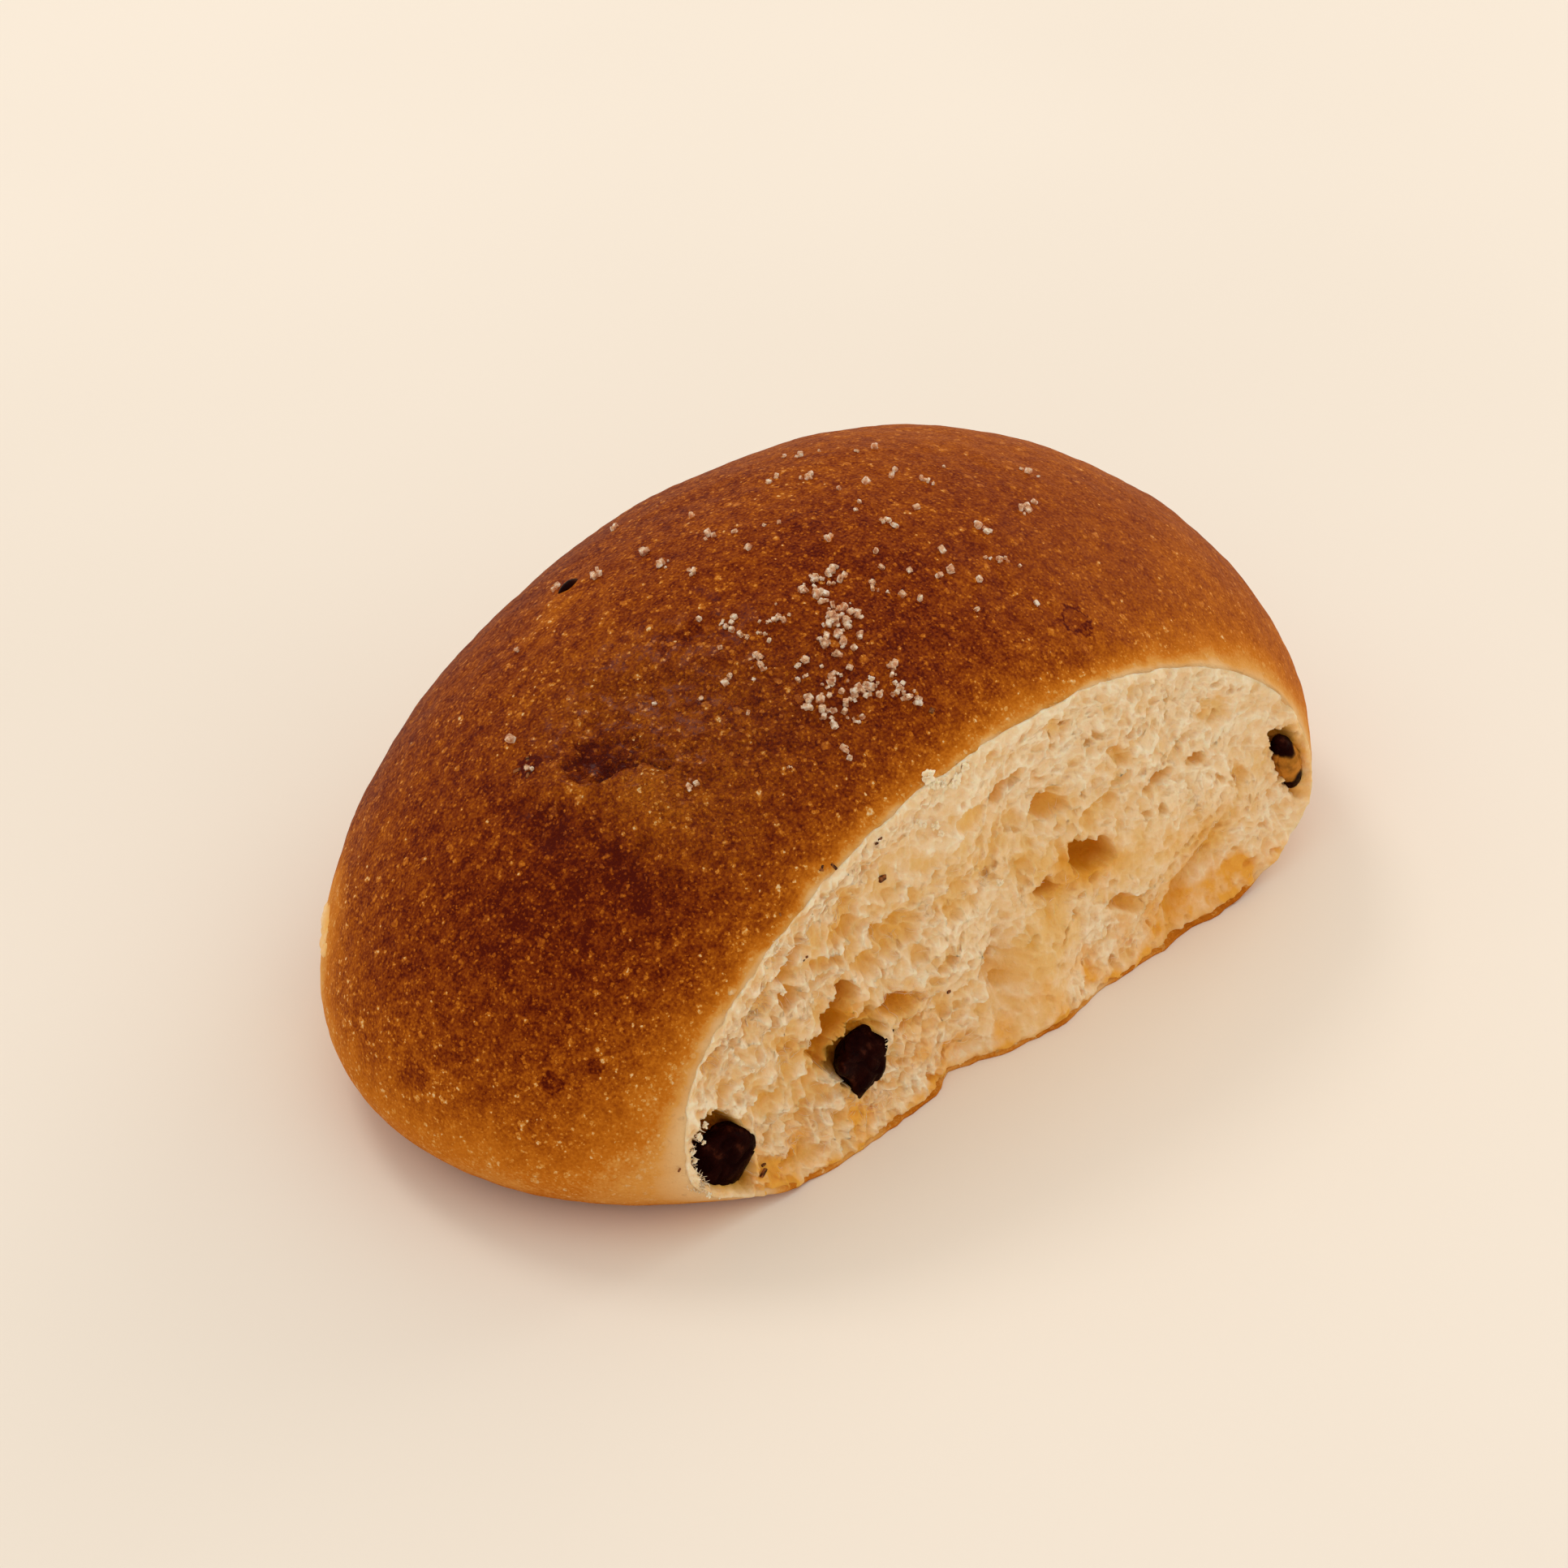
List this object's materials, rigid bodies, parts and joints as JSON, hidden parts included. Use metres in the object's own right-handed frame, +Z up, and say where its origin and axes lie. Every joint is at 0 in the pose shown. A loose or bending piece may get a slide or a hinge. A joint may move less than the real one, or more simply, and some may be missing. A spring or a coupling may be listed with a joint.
{
  "type": "raisin maritozzo, torn along one side",
  "caption": "Oval sweet bun with a glossy brown domed crust, pulled apart along one long side to show pale crumb, with raisins in the crumb and in the crust.",
  "frame": {"origin": "under the middle of the whole bun's box, on the surface that it rests on", "axes": "+X along the bun towards its fuller end, +Y towards the whole side of the crust, so the torn side faces -Y, and +Z up"},
  "size_m": [0.1098, 0.0688, 0.046],
  "materials": {
    "bun": "satin brown baked crust, with matte cream crumb on the torn side",
    "raisin": "semi-gloss wrinkled skin"
  },
  "bodies": {
    "root": {"bun": "bun", "raisin_near_end": "raisin", "raisin_middle": "raisin", "raisin_far_end": "raisin", "raisin_in_crust": "raisin"}
  },
  "joints": []
}
